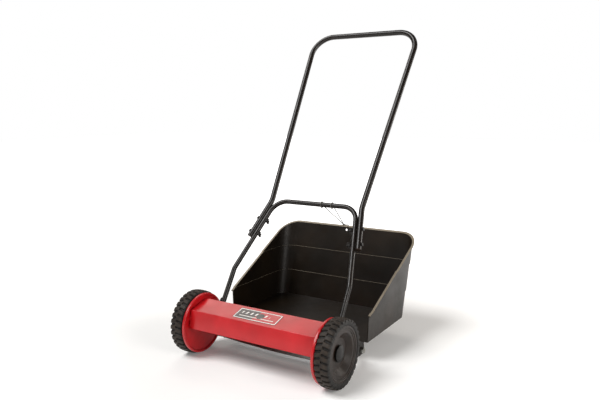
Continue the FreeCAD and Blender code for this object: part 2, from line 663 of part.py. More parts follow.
def bed_knife():
    """A hard steel strip with a bevelled front edge that the reel cuts against."""
    low = KNIFE_TOP - KNIFE_THICKNESS
    outline = [(KNIFE_Y, KNIFE_TOP), (KNIFE_Y + KNIFE_WIDTH, KNIFE_TOP), (KNIFE_Y + KNIFE_WIDTH, low),
               (KNIFE_Y + 4, low), (KNIFE_Y, KNIFE_TOP - 1)]
    half = REEL_HALF + 4
    holes = [Part.makeCylinder(KNIFE_THREAD + SEAT, 20, Vec(x, KNIFE_SCREW_Y, low - 8))
             for x in knife_screw_places()]
    return prism(outline, -half, half).cut(holes)


def knife_screws():
    solids = []
    for x in knife_screw_places():
        head = Part.makeCylinder(4.2, 1.2, Vec(x, KNIFE_SCREW_Y, KNIFE_TOP))
        shank = Part.makeCylinder(KNIFE_THREAD, 12, Vec(x, KNIFE_SCREW_Y, KNIFE_TOP - 12))
        solids.append(head.fuse(shank).removeSplitter())
        under = BAR_TOP - BAR_THICKNESS
        solids.append(hex_nut(KNIFE_THREAD, Vec(x, KNIFE_SCREW_Y, under), Vec(0, 0, -1)))
    return Part.makeCompound(solids)


def bed_bar_bolts():
    """The bar hangs on one bolt at each end, with its nut inboard."""
    inboard = SEAT_X - BAR_THICKNESS
    bolt = button_screw(BAR_THREAD, WEB_OUT - inboard + 6, Vec(WEB_OUT, *BAR_PIVOT), Vec(1, 0, 0))
    nut = hex_nut(BAR_THREAD, Vec(inboard, *BAR_PIVOT), Vec(-1, 0, 0))
    return both_sides([bolt, nut])


def bed_bar_adjusters():
    """Upright screws through the brackets' ears press on the bar and set the cut."""
    length = EAR_Z + BRACKET - BAR_TOP
    screw = hex_bolt(3.0, length, Vec(ADJUSTER_X, ADJUSTER_Y, EAR_Z + BRACKET), Vec(0, 0, 1))
    return both_sides([screw])


# ---- Cover --------------------------------------------------------------------------------------

def cover():
    """A bent sheet over the reel with a flange at each end for the screws."""
    half = SEAT_X
    sheet = bent_sheet(COVER_PROFILE, SHEET, -half, half)
    flange = bent_sheet(COVER_PROFILE[1:4], COVER_FLANGE, half - SHEET, half)
    for place in cover_screw_places():
        flange = flange.cut(disc(COVER_THREAD + SEAT, half - SHEET - 1, half + 1, place))
    whole = sheet.multiFuse([flange, mirrored(flange)]).removeSplitter()
    folds = [edge for edge in whole.Edges if is_along(edge, Vec(1, 0, 0)) and is_fold(edge)]
    return whole.makeFillet(3.0, folds)


def is_fold(edge):
    """True on the outer edge of the fold between the cover's front and top."""
    y, z = COVER_PROFILE[2]
    return math.hypot(edge.CenterOfMass.y - y, edge.CenterOfMass.z - z) < 0.1


def cover_screws():
    solids = []
    for place in cover_screw_places():
        length = WEB_OUT - SEAT_X + 6
        solids.append(button_screw(COVER_THREAD, length, Vec(WEB_OUT, *place), Vec(1, 0, 0)))
        solids.append(hex_nut(COVER_THREAD, Vec(SEAT_X - SHEET, *place), Vec(-1, 0, 0)))
    return both_sides(solids)


def label_plate():
    """A thin plate stuck on the cover's top face."""
    low, high = COVER_PROFILE[2], COVER_PROFILE[3]
    slope = math.degrees(math.atan2(high[1] - low[1], high[0] - low[0]))
    plate = Part.makeBox(LABEL_LENGTH, LABEL_WIDTH, LABEL_THICKNESS,
                         Vec(-LABEL_LENGTH / 2, -LABEL_WIDTH / 2, 0))
    plate = plate.makeFillet(3.0, [edge for edge in plate.Edges if is_along(edge, Vec(0, 0, 1))])
    plate.rotate(Vec(0, 0, 0), Vec(1, 0, 0), slope)
    middle = [(a + b) / 2 for a, b in zip(low, high)]
    lift = 0.02
    turn = math.radians(slope)
    plate.translate(Vec(4, middle[0] - lift * math.sin(turn), middle[1] + lift * math.cos(turn)))
    return plate


# ---- Rear brackets, roller arms and roller ------------------------------------------------------

def rear_bracket():
    """A plate bolted to the side plate. It carries the catcher rod, the roller arm and an ear."""
    front = BRACKET_BOLTS[0][0] - 10
    outline = [
        (front, EAR_Z), (front, AXLE_Z - 20), (72.0, AXLE_Z - 8), (90.0, AXLE_Z - 4),
        (100.0, ARM_CLAMP[1] + 8), (118.0, ARM_CLAMP[1] + 8), (ROD_CENTRE[0] + 10, ROD_CENTRE[1] + 9),
        (ROD_CENTRE[0] + 10, ROD_CENTRE[1] - 9), (ARM_PIVOT[0] + 6, ARM_PIVOT[1] - 12),
        (BAR_REAR + 6, EAR_Z),
    ]
    plate = prism(outline, SEAT_X - BRACKET, SEAT_X)
    ear = Part.makeBox(SEAT_X - ADJUSTER_X + EAR_HALF_WIDTH - 2, 2 * EAR_HALF_WIDTH, BRACKET)
    ear.translate(Vec(ADJUSTER_X - EAR_HALF_WIDTH + 2, ADJUSTER_Y - EAR_HALF_WIDTH, EAR_Z))
    holes = [(place, BRACKET_THREAD) for place in BRACKET_BOLTS]
    holes += [(ARM_PIVOT, ARM_BOLT), (ARM_CLAMP, CLAMP_THREAD), (ROD_CENTRE, ROD_RADIUS - 1)]
    cuts = [disc(radius + SEAT, SEAT_X - BRACKET - 1, SEAT_X + 1, place) for place, radius in holes]
    cuts.append(Part.makeCylinder(3.0 + SEAT, 3 * BRACKET, Vec(ADJUSTER_X, ADJUSTER_Y, EAR_Z - BRACKET)))
    return plate.fuse(ear).cut(cuts).removeSplitter()


def bracket_bolts():
    solids = []
    inboard = SEAT_X - BRACKET
    for place in BRACKET_BOLTS:
        length = WEB_OUT - inboard + 6
        solids.append(button_screw(BRACKET_THREAD, length, Vec(WEB_OUT, *place), Vec(1, 0, 0)))
        solids.append(hex_nut(BRACKET_THREAD, Vec(inboard, *place), Vec(-1, 0, 0)))
    return both_sides(solids)


def arm_slot(half_width, x0, x1):
    """The curved slot about the arm's pivot in which the clamp bolt slides."""
    radius = math.dist(ARM_PIVOT, ARM_CLAMP)
    start = math.atan2(ARM_CLAMP[1] - ARM_PIVOT[1], ARM_CLAMP[0] - ARM_PIVOT[0])
    spots = []
    for step in range(9):
        angle = start + math.radians(ARM_DROP - (ARM_DROP + ARM_RISE) * step / 8)
        spots.append((ARM_PIVOT[0] + radius * math.cos(angle), ARM_PIVOT[1] + radius * math.sin(angle)))
    pieces = [strap(a, b, half_width, x0, x1) for a, b in zip(spots, spots[1:])]
    return pieces[0].multiFuse(pieces[1:])


def roller_arm():
    """A plate that swings on the bracket. Its rear end is deepened to carry the roller."""
    body = strap(ARM_PIVOT, ROLLER_CENTRE, ARM_HALF_WIDTH, ARM_IN, ARM_OUT)
    lobe = strap(ARM_PIVOT, ARM_CLAMP, ARM_HALF_WIDTH, ARM_IN, ARM_OUT)
    slot = arm_slot(CLAMP_THREAD + 0.5, ARM_IN - 1, ARM_OUT + 1)
    around = arm_slot(CLAMP_THREAD + 6, ARM_IN, ARM_OUT)
    heel_bottom = ROLLER_RADIUS - 14
    heel_height = CATCHER_FLOOR_Z - 8 - heel_bottom
    heel = Part.makeBox(ARM_THICKNESS, 32.0, heel_height, Vec(ARM_IN, ROLLER_Y - 17, heel_bottom))
    heel = heel.makeFillet(6.0, [edge for edge in heel.Edges if is_along(edge, Vec(1, 0, 0))])
    pivot = disc(ARM_BOLT + RUNNING, ARM_IN - 1, ARM_OUT + 1, ARM_PIVOT)
    axle = disc(ROLLER_AXLE_RADIUS - 1 + SEAT, ARM_IN - 1, ARM_OUT + 1, ROLLER_CENTRE)
    return body.multiFuse([lobe, around, heel]).cut([slot, pivot, axle]).removeSplitter()


def arm_bolts():
    """Per arm a shouldered pivot bolt with its nut and a clamp bolt, all put in from outside."""
    grip = SEAT_X - ARM_IN + FREE
    pivot = button_screw(ARM_BOLT, grip + 8, Vec(SEAT_X, *ARM_PIVOT), Vec(1, 0, 0))
    nut = hex_nut(ARM_BOLT, Vec(ARM_IN - FREE, *ARM_PIVOT), Vec(-1, 0, 0))
    clamp = button_screw(CLAMP_THREAD, grip + 13, Vec(SEAT_X, *ARM_CLAMP), Vec(1, 0, 0))
    return both_sides([pivot, nut, clamp])


def arm_wing_nuts():
    return both_sides([wing_nut(CLAMP_THREAD, Vec(ARM_IN - FREE, *ARM_CLAMP), Vec(-1, 0, 0))])


def roller_axle():
    """A rod shouldered between the arms and threaded through them."""
    body = disc(ROLLER_AXLE_RADIUS, -ARM_IN, ARM_IN, ROLLER_CENTRE)
    end = disc(ROLLER_AXLE_RADIUS - 1, ARM_IN, ARM_OUT + 9, ROLLER_CENTRE)
    return body.multiFuse([end, mirrored(end)]).removeSplitter()


def roller_axle_nuts():
    return both_sides([hex_nut(ROLLER_AXLE_RADIUS - 1, Vec(ARM_OUT, *ROLLER_CENTRE), Vec(1, 0, 0))])


def rear_roller():
    """A hollow roller with a solid hub at each end that turns on the axle."""
    half = ARM_IN - 1
    hub = 24.0
    hollow = disc(ROLLER_RADIUS - 4, -half + hub, half - hub, ROLLER_CENTRE)
    bore = disc(ROLLER_AXLE_RADIUS + RUNNING, -half - 1, half + 1, ROLLER_CENTRE)
    body = disc(ROLLER_RADIUS, -half, half, ROLLER_CENTRE)
    rims = [edge for edge in body.Edges if isinstance(edge.Curve, Part.Circle)]
    return body.makeFillet(2.0, rims).cut([hollow, bore])


def catcher_rod():
    """A rod shouldered between the brackets. The catcher's lip hangs on it."""
    half = SEAT_X - BRACKET
    body = disc(ROD_RADIUS, -half, half, ROD_CENTRE)
    end = disc(ROD_RADIUS - 1, half, SEAT_X + 7, ROD_CENTRE)
    return body.multiFuse([end, mirrored(end)]).removeSplitter()


def catcher_rod_nuts():
    return both_sides([hex_nut(ROD_RADIUS - 1, Vec(SEAT_X, *ROD_CENTRE), Vec(1, 0, 0))])


# ---- Handle -------------------------------------------------------------------------------------

def leg_frame():
    """The lower leg's corner, its downward direction and the outward direction to the upper tube."""
    bend = Vec(LEG_X, *LEG_BEND)
    down = (bend - CROSSBAR).normalize()
    outward = Vec(1, 0, 0) - down * down.x
    return CROSSBAR, down, outward.normalize()


def pad_direction():
    """Unit (y, z) direction from the handle's pivot up the lowest stretch of the leg."""
    dy, dz = LEG_BEND[0] - HANDLE_PIVOT[0], LEG_BEND[1] - HANDLE_PIVOT[1]
    length = math.hypot(dy, dz)
    return dy / length, dz / length


def along_pad(distance, aside=0.0):
    """A (y, z) point up the lowest stretch of the leg, moved aside towards the front."""
    dy, dz = pad_direction()
    return HANDLE_PIVOT[0] + dy * distance - dz * aside, HANDLE_PIVOT[1] + dz * distance + dy * aside


def stop_pin_place():
    return along_pad(-PAD_TAIL, PAD_HALF_WIDTH + STOP_PIN_RADIUS + FREE)


def handle_stop_pins():
    """Pins in front of the pads' tails hold the handle at its working angle."""
    pin = disc(STOP_PIN_RADIUS, SEAT_X - 7, WEB_OUT + 1, stop_pin_place())
    head = disc(STOP_PIN_RADIUS + 2, WEB_OUT, WEB_OUT + 2, stop_pin_place())
    return both_sides([pin.fuse(head).removeSplitter()])


def bolt_centre(station):
    """The point on the lower leg's centre line where a joining bolt crosses it."""
    corner, down, _ = leg_frame()
    return corner + down * station


def tube_offset():
    """Distance between the centre lines of the two tubes where they lie side by side."""
    return (UPPER_TUBE + LOWER_TUBE) / 2 + 0.3


def bolt_holes():
    """Cylinders along the joining bolts, a little wider than the bolts."""
    _, _, outward = leg_frame()
    holes = []
    for station in BOLT_STATIONS:
        start = bolt_centre(station) - outward * LOWER_TUBE
        length = tube_offset() + LOWER_TUBE + UPPER_TUBE
        holes.append(Part.makeCylinder(HANDLE_THREAD + 0.1, length, start, outward))
    return holes + [mirrored(hole) for hole in holes]


def lower_handle():
    """The crossbar and two splayed legs in one bent tube, with flattened ends at the pivots."""
    bend = Vec(LEG_X, *LEG_BEND)
    foot = Vec(LEG_X, *along_pad(PAD_LENGTH - 6))
    right = [CROSSBAR, bend, foot]
    left = [Vec(-point.x, point.y, point.z) for point in right]
    points = left[::-1] + right
    radii = [40.0, CROSSBAR_BEND_RADIUS, CROSSBAR_BEND_RADIUS, 40.0]
    tube = bent_tube(points, radii, LOWER_TUBE)
    pad = strap(along_pad(-PAD_TAIL), along_pad(PAD_LENGTH), PAD_HALF_WIDTH, PAD_OUT - PIVOT_PAD, PAD_OUT)
    neck = round_neck()
    bore = disc(PIVOT_THREAD + RUNNING, SEAT_X - 20, SEAT_X + 1, HANDLE_PIVOT)
    foot_piece = pad.fuse(neck).cut(bore)
    whole = tube.multiFuse([foot_piece, mirrored(foot_piece)])
    return whole.cut(bolt_holes()).removeSplitter()


def round_neck():
    """The stretch where the round tube is squeezed flat into the pad."""
    dy, dz = pad_direction()
    top = Vec(LEG_X, *along_pad(PAD_LENGTH))
    wide = Part.Wire(Part.Circle(top, Vec(0, dy, dz), LOWER_TUBE / 2 + 0.15).toShape())
    base = Vec(PAD_OUT - PIVOT_PAD / 2, *along_pad(PAD_LENGTH - 20))
    side = base + Vec(0, dz, -dy) * (PAD_HALF_WIDTH - 0.5)
    flat = Part.Ellipse(side, base + Vec(PIVOT_PAD / 2, 0, 0), base)
    return Part.makeLoft([Part.Wire(flat.toShape()), wide], True, True)


def upper_tail():
    """Centre-line points of the upper handle's right leg below its bend: the bend and the tail's end."""
    corner, down, outward = leg_frame()
    aside = outward * tube_offset()
    return corner + aside + down * 6, corner + aside + down * TAIL_LENGTH


def upper_handle():
    """One bent tube: the top bar, two legs and a tail at each foot beside the lower handle."""
    bend, end = upper_tail()
    right = [Vec(UPPER_CORNER_X, HANDLE_REACH, TOP_BAR_Z), bend, end]
    left = [Vec(-point.x, point.y, point.z) for point in right]
    radii = [80.0, TOP_BEND_RADIUS, TOP_BEND_RADIUS, 80.0]
    return bent_tube(left[::-1] + right, radii, UPPER_TUBE).cut(bolt_holes())


def handle_end_caps():
    """Plastic plugs that close the upper tube's tails."""
    _, end = upper_tail()
    _, down, _ = leg_frame()
    head = Part.makeCylinder(UPPER_TUBE / 2, 2.5, end + down * SEAT, down)
    head = head.makeFillet(1.0, [edge for edge in head.Edges if is_far_circle(edge, end, down)])
    plug = Part.makeCylinder(UPPER_TUBE / 2 - TUBE_WALL - SEAT, 10.0, end - down * 9, down)
    return both_sides([head.fuse(plug)])


def is_far_circle(edge, end, down):
    return isinstance(edge.Curve, Part.Circle) and (edge.Curve.Center - end).dot(down) > 1


def handle_bolts():
    """Hexagon bolts from outside through both tubes."""
    _, _, outward = leg_frame()
    outside = tube_offset() + UPPER_TUBE / 2
    length = outside + LOWER_TUBE / 2 + 13
    bolts = [hex_bolt(HANDLE_THREAD, length, bolt_centre(station) + outward * (outside + SEAT), outward)
             for station in BOLT_STATIONS]
    return both_sides(bolts)


def handle_wing_nuts():
    _, _, outward = leg_frame()
    nuts = [wing_nut(HANDLE_THREAD, bolt_centre(station) - outward * (LOWER_TUBE / 2 + SEAT), outward * -1)
            for station in BOLT_STATIONS]
    return both_sides(nuts)


def handle_pivot_bolts():
    """Shouldered bolts that hold the flattened ends of the lower handle to the side plates."""
    inboard = PAD_OUT - PIVOT_PAD - FREE
    bolt = button_screw(PIVOT_THREAD, WEB_OUT - inboard + 8, Vec(WEB_OUT, *HANDLE_PIVOT), Vec(1, 0, 0))
    return both_sides([bolt])


def handle_pivot_nuts():
    inboard = PAD_OUT - PIVOT_PAD - FREE
    return both_sides([hex_nut(PIVOT_THREAD, Vec(inboard, *HANDLE_PIVOT), Vec(-1, 0, 0))])


# ---- Grass catcher ------------------------------------------------------------------------------

def catcher_outline(z, inset, front=CATCHER_FRONT_Y):
    """The catcher's outline at a height: straight sides, rear wall and rounded rear corners."""
    share = (z - CATCHER_FLOOR_Z) / (CATCHER_TOP_Z - CATCHER_FLOOR_Z)
    half, rear, corner = (low + (high - low) * share for low, high in zip(CATCHER_BOTTOM, CATCHER_TOP))
    half -= inset
    rear -= inset
    corner -= inset
    bulge = corner * (1 - math.sqrt(0.5))
    right_start, right_end = Vec(half, rear - corner, z), Vec(half - corner, rear, z)
    left_start, left_end = Vec(-half + corner, rear, z), Vec(-half, rear - corner, z)
    front_right, front_left = Vec(half, front, z), Vec(-half, front, z)
    return Part.Wire([
        Part.LineSegment(front_right, right_start).toShape(),
        Part.Arc(right_start, Vec(half - bulge, rear - bulge, z), right_end).toShape(),
        Part.LineSegment(right_end, left_start).toShape(),
        Part.Arc(left_start, Vec(-half + bulge, rear - bulge, z), left_end).toShape(),
        Part.LineSegment(left_end, front_left).toShape(),
        Part.LineSegment(front_left, front_right).toShape(),
    ])


def catcher_block(inset, floor, top, front=CATCHER_FRONT_Y):
    """The tapering block of the catcher in tiers. Each tier is a step wider than the one below."""
    tiers = CATCHER_STEPS + 1
    height = (CATCHER_TOP_Z - CATCHER_FLOOR_Z) / tiers
    blocks = []
    for tier in range(tiers):
        low = CATCHER_FLOOR_Z + height * tier if tier else floor
        high = CATCHER_FLOOR_Z + height * (tier + 1) if tier < CATCHER_STEPS else top
        step = STEP_DEPTH * (CATCHER_STEPS - tier)
        outlines = [catcher_outline(z, inset + step, front) for z in (low, high)]
        blocks.append(Part.makeLoft(outlines, True, True))
    return blocks[0].multiFuse(blocks[1:])


def rim_height(y):
    """Height of the catcher's sloping rim above a place along its length."""
    slope = (CATCHER_TOP_Z - CATCHER_LIP_Z) / (CATCHER_TOP[1] - CATCHER_FRONT_Y)
    return CATCHER_LIP_Z + slope * (y - CATCHER_FRONT_Y)


def above_rim(drop):
    """Everything above the plane of the sloping rim, lowered by a drop."""
    start, end, width = CATCHER_FRONT_Y - 100, CATCHER_TOP[1] + 100, OVERALL_WIDTH
    outline = [(start, rim_height(start) - drop), (end, rim_height(end) - drop),
               (end, CATCHER_TOP_Z + 300), (start, CATCHER_TOP_Z + 300)]
    return prism(outline, -width, width)


def catcher():
    """A moulded scoop, open at the front and top, with a rolled rim and a lip that hangs on the rod."""
    top = CATCHER_TOP_Z + 20
    hollow = catcher_block(CATCHER_WALL, CATCHER_FLOOR_Z + CATCHER_WALL, top + 10, CATCHER_FRONT_Y - 20)
    shell = catcher_block(0.0, CATCHER_FLOOR_Z, top).cut(hollow)
    body = shell.cut(above_rim(0.0))
    rim = catcher_block(-RIM_WIDTH, CATCHER_FLOOR_Z, top).cut([hollow, above_rim(0.0)])
    rim = rim.common(above_rim(RIM_HEIGHT))
    start = Vec(HOOK_X, CATCHER_TOP[1] - 40, CATCHER_TOP_Z - HANG_HOLE_DROP)
    hole = Part.makeCylinder(HANG_HOLE_RADIUS, 60, start, Vec(0, 1, 0))
    return body.multiFuse([rim, catcher_lip()]).cut(hole).removeSplitter()


def catcher_lip():
    """A tongue that rises from the floor's front edge and hooks over the catcher rod."""
    half = ARM_IN - LIP_GAP
    inner = ROD_RADIUS + FREE
    outer = inner + CATCHER_WALL + 0.5
    y, z = ROD_CENTRE
    ramp = bent_sheet([(y + inner, z + 0.5), (CATCHER_FRONT_Y - 8, CATCHER_FLOOR_Z + CATCHER_WALL),
                       (CATCHER_FRONT_Y + 6, CATCHER_FLOOR_Z + CATCHER_WALL)], CATCHER_WALL, -half, half)
    hook = ring(outer, inner, -half, half, ROD_CENTRE)
    below = Part.makeBox(2 * half + 2, 40, 40, Vec(-half - 1, y - 20, z - 40 - 0.5))
    return hook.cut(below).fuse(ramp.cut(disc(inner, -half - 1, half + 1, ROD_CENTRE)))


# ---- Bail wire ----------------------------------------------------------------------------------

def bail_end():
    """Where the two wires of the bail meet, in front of the hook over the catcher's rim."""
    rear = CATCHER_TOP[1] + RIM_WIDTH
    over = rim_height(rear) + WIRE_RADIUS + FREE
    return Vec(HOOK_X, rear - BAIL_SHANK, over + 6), Vec(HOOK_X, rear + HOOK_REACH + WIRE_RADIUS, over)


def bail_wire():
    """Two straight galvanised wires, each with an eye on the crossbar, that meet at one point."""
    eye_radius = LOWER_TUBE / 2 + FREE + WIRE_RADIUS
    meeting, _ = bail_end()
    pieces = []
    for x in BAIL_EYES_X:
        centre = Vec(x, CROSSBAR.y, CROSSBAR.z)
        pieces.append(Part.makeTorus(eye_radius, WIRE_RADIUS, centre, Vec(1, 0, 0)))
        towards = meeting - centre
        start = centre + Vec(0, towards.y, towards.z).normalize() * eye_radius
        pieces.append(Part.makeCylinder(WIRE_RADIUS, (meeting - start).Length, start, meeting - start))
    return Part.makeSphere(WIRE_RADIUS, meeting).multiFuse(pieces).removeSplitter()


def bail_hook(wires):
    """A wire hook over the catcher's rim, with a crimped sleeve that holds the ends of both wires."""
    meeting, across = bail_end()
    towards = (across - meeting).normalize()
    tip = Vec(HOOK_X, across.y, across.z - HOOK_DEPTH)
    hook = round_bar([meeting, across, tip], [4.0], WIRE_RADIUS)
    sleeve = Part.makeCylinder(SLEEVE_RADIUS, SLEEVE_LENGTH, meeting - towards * SLEEVE_LENGTH / 2, towards)
    return hook.fuse(sleeve).cut(wires).removeSplitter()


# ---- Build --------------------------------------------------------------------------------------

os.makedirs("parts", exist_ok=True)

save_pair("side_plate", side_plate())
save_pair("stub_axle", stub_axle())
save_pair("reel_bearing", reel_bearing())
save_pair("rear_bracket", rear_bracket())
save("bracket_bolts", bracket_bolts())
save("cover_plate", cover())
save("cover_screws", cover_screws())
save("label_plate", label_plate())
save("bed_bar", bed_bar())
save("bed_knife", bed_knife())
save("knife_screws", knife_screws())
save("bed_bar_bolts", bed_bar_bolts())
save("bed_bar_adjusters", bed_bar_adjusters())
save("axle_washers", both_sides([axle_washer()]))
save("axle_clips", both_sides([axle_clip()]))
save("handle_pivot_bolts", handle_pivot_bolts())
save("handle_pivot_nuts", handle_pivot_nuts())
save("handle_stop_pins", handle_stop_pins())
save("arm_bolts", arm_bolts())
save("arm_wing_nuts", arm_wing_nuts())
save("catcher_rod", catcher_rod())
save("catcher_rod_nuts", catcher_rod_nuts())

save_pair("tyre", tyre())
save_pair("wheel", wheel())
save_pair("wheel_bush", wheel_bush())
save_pair("hub_cap", hub_cap())

save("reel_shaft", reel_shaft())
for number in range(BLADE_COUNT):
    save("reel_blade_%d" % (number + 1), reel_blade(number))
for number, place in enumerate(spider_places()):
    save("reel_spider_%d" % (number + 1), reel_spider(place))
save_pair("pinion", pinion())
save("drive_pawls", both_sides([drive_pawl()]))

save_pair("roller_arm", roller_arm())
save("roller_axle", roller_axle())
save("roller_axle_nuts", roller_axle_nuts())
save("rear_roller", rear_roller())

save("lower_handle", lower_handle())
save("upper_handle", upper_handle())
save("handle_bolts", handle_bolts())
save("handle_wing_nuts", handle_wing_nuts())
save("handle_end_caps", handle_end_caps())
wires = bail_wire()
save("bail_wire", wires)
save("bail_hook", bail_hook(wires))
save("catcher", catcher())
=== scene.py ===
import json
import math

import bmesh
import bpy
import numpy as np
from mathutils import Matrix, Vector

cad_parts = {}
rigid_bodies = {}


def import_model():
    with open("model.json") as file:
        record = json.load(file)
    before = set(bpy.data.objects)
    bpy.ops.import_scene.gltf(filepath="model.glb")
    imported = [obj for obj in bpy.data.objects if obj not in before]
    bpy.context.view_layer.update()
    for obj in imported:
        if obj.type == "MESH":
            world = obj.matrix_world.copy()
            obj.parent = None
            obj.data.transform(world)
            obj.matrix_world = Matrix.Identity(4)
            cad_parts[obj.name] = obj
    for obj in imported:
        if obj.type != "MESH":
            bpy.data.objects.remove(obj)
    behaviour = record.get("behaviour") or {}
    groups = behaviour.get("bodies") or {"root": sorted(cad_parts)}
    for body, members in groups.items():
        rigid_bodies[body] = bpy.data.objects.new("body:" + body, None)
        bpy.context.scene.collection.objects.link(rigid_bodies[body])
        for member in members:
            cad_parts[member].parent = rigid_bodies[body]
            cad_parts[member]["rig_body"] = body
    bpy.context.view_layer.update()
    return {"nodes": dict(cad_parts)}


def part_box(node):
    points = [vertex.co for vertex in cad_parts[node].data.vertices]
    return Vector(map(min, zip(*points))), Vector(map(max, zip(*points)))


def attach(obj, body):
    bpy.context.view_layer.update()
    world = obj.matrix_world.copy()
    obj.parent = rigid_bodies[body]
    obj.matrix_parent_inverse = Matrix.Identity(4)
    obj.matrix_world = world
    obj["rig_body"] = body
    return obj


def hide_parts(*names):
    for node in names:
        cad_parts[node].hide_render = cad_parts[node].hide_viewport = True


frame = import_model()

# ---- Side plates and cover: gloss red enamel on pressed steel ------------------------------------
# Each side plate is a deep-drawn steel dish with a rolled rim and pressed seats for its bolts. The
# cover is folded from thin sheet and screwed between the plates by its end flanges. All three are
# dipped in red enamel and baked, which leaves a wet gloss, a faint orange peel and rounded edges.


def linear(colour):
    """An sRGB hex colour as linear red, green, blue and alpha."""
    channels = [int(colour[i:i + 2], 16) / 255 for i in (1, 3, 5)]
    return [c / 12.92 if c <= 0.04045 else ((c + 0.055) / 1.055) ** 2.4 for c in channels] + [1.0]


def add(tree, kind, inputs=None, **settings):
    """Adds a node. inputs gives its sockets a value or another node's output, settings its properties."""
    made = tree.nodes.new("ShaderNode" + kind)
    for name, value in settings.items():
        setattr(made, name, value)
    for name, value in (inputs or {}).items():
        if isinstance(value, bpy.types.NodeSocket):
            tree.links.new(value, made.inputs[name])
        else:
            made.inputs[name].default_value = value
    return made


def surface(name, **shader_values):
    """A material, its node tree and its shader, with uniform values on the shader's own sockets."""
    material = bpy.data.materials.new(name)
    material.use_nodes = True
    tree = material.node_tree
    shader = tree.nodes["Principled BSDF"]
    for socket, value in shader_values.items():
        shader.inputs[socket.replace("_", " ")].default_value = value
    return material, tree, shader


def mottle(tree, shader, place, spacing, colours):
    """Colour that drifts through hex colours in patches of about spacing metres."""
    cloud = add(tree, "TexNoise", {"Vector": place, "Scale": 1 / spacing, "Detail": 3.0})
    ramp = add(tree, "ValToRGB", {"Fac": cloud.outputs["Fac"]})
    stops = ramp.color_ramp.elements
    while len(stops) < len(colours):
        stops.new(0.5)
    for i, colour in enumerate(colours):
        stops[i].position = 0.32 + 0.36 * i / (len(colours) - 1)
        stops[i].color = linear(colour)
    tree.links.new(ramp.outputs["Color"], shader.inputs["Base Color"])
    return ramp.outputs["Color"]


def sheen_patches(tree, shader, place, spacing, low, high):
    """Roughness that drifts between two values in patches of about spacing metres."""
    cloud = add(tree, "TexNoise", {"Vector": place, "Scale": 1 / spacing, "Detail": 4.0})
    span = add(tree, "MapRange", {
        "Value": cloud.outputs["Fac"], "From Min": 0.3, "From Max": 0.7, "To Min": low, "To Max": high,
    })
    tree.links.new(span.outputs["Result"], shader.inputs["Roughness"])


def grain(tree, shader, place, spacing, depth):
    """Bumps about spacing metres apart and depth metres deep."""
    cloud = add(tree, "TexNoise", {"Vector": place, "Scale": 1 / spacing, "Detail": 2.0})
    bump = add(tree, "Bump", {"Height": cloud.outputs["Fac"], "Distance": depth, "Strength": 1.0})
    tree.links.new(bump.outputs["Normal"], shader.inputs["Normal"])


def place_piece(name, mesh, body, material, stands_for):
    """Puts a finished mesh in the scene as a piece that rides on a body in place of CAD nodes."""
    mesh.materials.clear()
    mesh.materials.append(material)
    piece = bpy.data.objects.new(name, mesh)
    bpy.context.scene.collection.objects.link(piece)
    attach(piece, body)
    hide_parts(*stands_for)
    return piece


CREASE = math.radians(32)
MERGE = 1e-6


def finished(node, material, edge=0.0):
    """A CAD node's own shape with its curved faces shaded smooth and its edges rounded.

    The mesh is a merged copy. Where edge is given, flat areas are joined and every edge sharper than
    the crease angle is rounded over that width in metres.
    """
    source = frame["nodes"][node]
    mesh = source.data.copy()
    shell = bmesh.new()
    shell.from_mesh(mesh)
    bmesh.ops.remove_doubles(shell, verts=shell.verts, dist=MERGE)
    if edge:
        bmesh.ops.dissolve_limit(shell, angle_limit=math.radians(0.5), verts=shell.verts, edges=shell.edges)
    shell.to_mesh(mesh)
    shell.free()
    if "custom_normal" in mesh.attributes:
        mesh.attributes.remove(mesh.attributes["custom_normal"])
    mesh.shade_smooth()
    mesh.set_sharp_from_angle(angle=CREASE)
    piece = place_piece(node + "_finished", mesh, source["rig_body"], material, [node])
    if edge:
        bevel = piece.modifiers.new("rounded_edges", "BEVEL")
        bevel.width = edge
        bevel.segments = 2
        bevel.limit_method = "ANGLE"
        bevel.angle_limit = CREASE
        bevel.harden_normals = True
    return piece


def red_enamel():
    """Baked red enamel on pressed steel: saturated, wet gloss, orange peel about 4 mm apart."""
    material, tree, shader = surface(
        "baked_red_enamel_on_steel", IOR=1.5, Coat_Weight=0.2, Coat_Roughness=0.1,
    )
    place = add(tree, "TexCoord").outputs["Object"]
    mottle(tree, shader, place, 0.09, ["#AE0810", "#BA0C15", "#C4121B"])
    sheen_patches(tree, shader, place, 0.03, 0.28, 0.38)
    grain(tree, shader, place, 0.004, 0.00003)
    return material


red = red_enamel()
for side in ("left", "right"):
    finished("side_plate_" + side, red, edge=0.0006)
finished("cover_plate", red, edge=0.0004)

# ---- Label: printed vinyl ------------------------------------------------------------------------
# A thin vinyl sheet with rounded corners, glued to the cover's top face: a white border round a dark
# field and a red field that meet on a slant, with plain bars in place of any print.

LABEL_THICKNESS = 0.0006
LABEL_CORNER = 0.004


